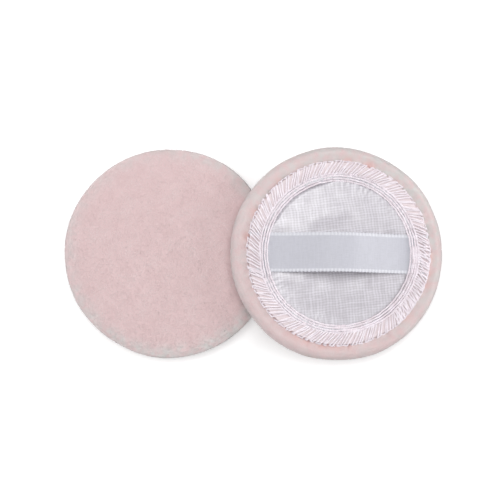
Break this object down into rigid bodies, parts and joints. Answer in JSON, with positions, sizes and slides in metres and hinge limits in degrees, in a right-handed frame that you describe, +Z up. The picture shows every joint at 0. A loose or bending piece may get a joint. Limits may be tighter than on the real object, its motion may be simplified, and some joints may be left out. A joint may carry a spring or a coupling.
{
  "type": "powder puff",
  "caption": "Round velour powder puffs, one leaning on the other, each with a cushioned face, a satin back, an overlocked seam and a bowed ribbon strap for the fingers.",
  "frame": {"origin": "on the table, under the middle of the pair's box", "axes": "+X from the puff that lies face up to the one that leans on it, along the ribbons; +Z up from the table"},
  "size_m": [0.1072, 0.06, 0.0176],
  "materials": {
    "velour": "soft pile",
    "foam": "matte",
    "satin": "satin",
    "ribbon": "satin",
    "thread": "silky"
  },
  "bodies": {
    "left_puff": {"left_velour_cover": "velour", "left_foam_core": "foam", "left_satin_back": "satin", "left_ribbon_strap": "ribbon", "left_inner_needle_thread": "thread", "left_outer_needle_thread": "thread", "left_top_looper_thread": "thread", "left_under_looper_thread": "thread"},
    "right_puff": {"right_velour_cover": "velour", "right_foam_core": "foam", "right_satin_back": "satin", "right_inner_needle_thread": "thread", "right_outer_needle_thread": "thread", "right_top_looper_thread": "thread", "right_under_looper_thread": "thread"},
    "right_strap": {"right_ribbon_strap": "ribbon"}
  },
  "joints": [
    {"name": "right_puff_lift", "type": "slide", "parent": "left_puff", "child": "right_puff", "axis": [0, 0, 1], "range_m": [0, 0.05]},
    {"name": "right_strap_press", "type": "slide", "parent": "right_puff", "child": "right_strap", "axis": [0.1644, 0, 0.9864], "range_m": [-0.006, 0], "stiffness_N_per_m": 20, "deforming": ["right_ribbon_strap"]}
  ]
}
